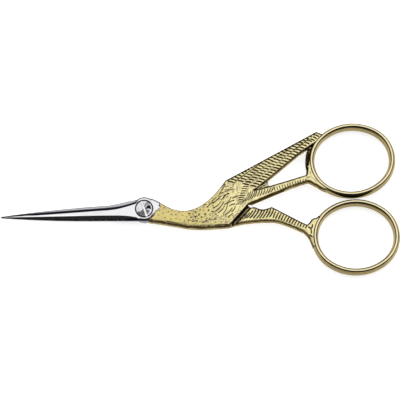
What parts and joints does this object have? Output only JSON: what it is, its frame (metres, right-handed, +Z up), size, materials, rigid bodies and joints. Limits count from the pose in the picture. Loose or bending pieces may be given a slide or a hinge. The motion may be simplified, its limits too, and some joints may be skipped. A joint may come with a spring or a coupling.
{
  "type": "stork embroidery scissors",
  "caption": "Slender embroidery scissors with bare steel blades and gilt handles shaped as a stork, joined by a slotted pivot screw.",
  "frame": {"origin": "on the pivot axis, at the flat underside of the back half's head, which is also the plane the scissors lie on", "axes": "+X along the length towards the finger rings, +Y across towards the front half's ring, +Z up through the thickness towards the screw's slotted head"},
  "size_m": [0.1152, 0.0454, 0.0041],
  "materials": {
    "blade_steel": "polished bare steel",
    "screw_steel": "polished bare steel",
    "gilding": "pale gilt plating over die-struck relief, dark in the recesses",
    "ring_gilding": "smooth polished pale gilt plating"
  },
  "bodies": {
    "back_half": {"back_blade": "blade_steel", "back_body": "gilding", "back_leg": "gilding", "back_foot": "gilding", "back_ring": "ring_gilding", "pivot_screw": "screw_steel"},
    "front_half": {"front_blade": "blade_steel", "front_body": "gilding", "front_leg": "gilding", "front_foot": "gilding", "front_ring": "ring_gilding"}
  },
  "joints": [
    {"name": "pivot", "type": "hinge", "parent": "back_half", "child": "front_half", "pos_m": [0, 0, 0.002], "axis": [0, 0, 1], "range_deg": [0, 60]}
  ]
}
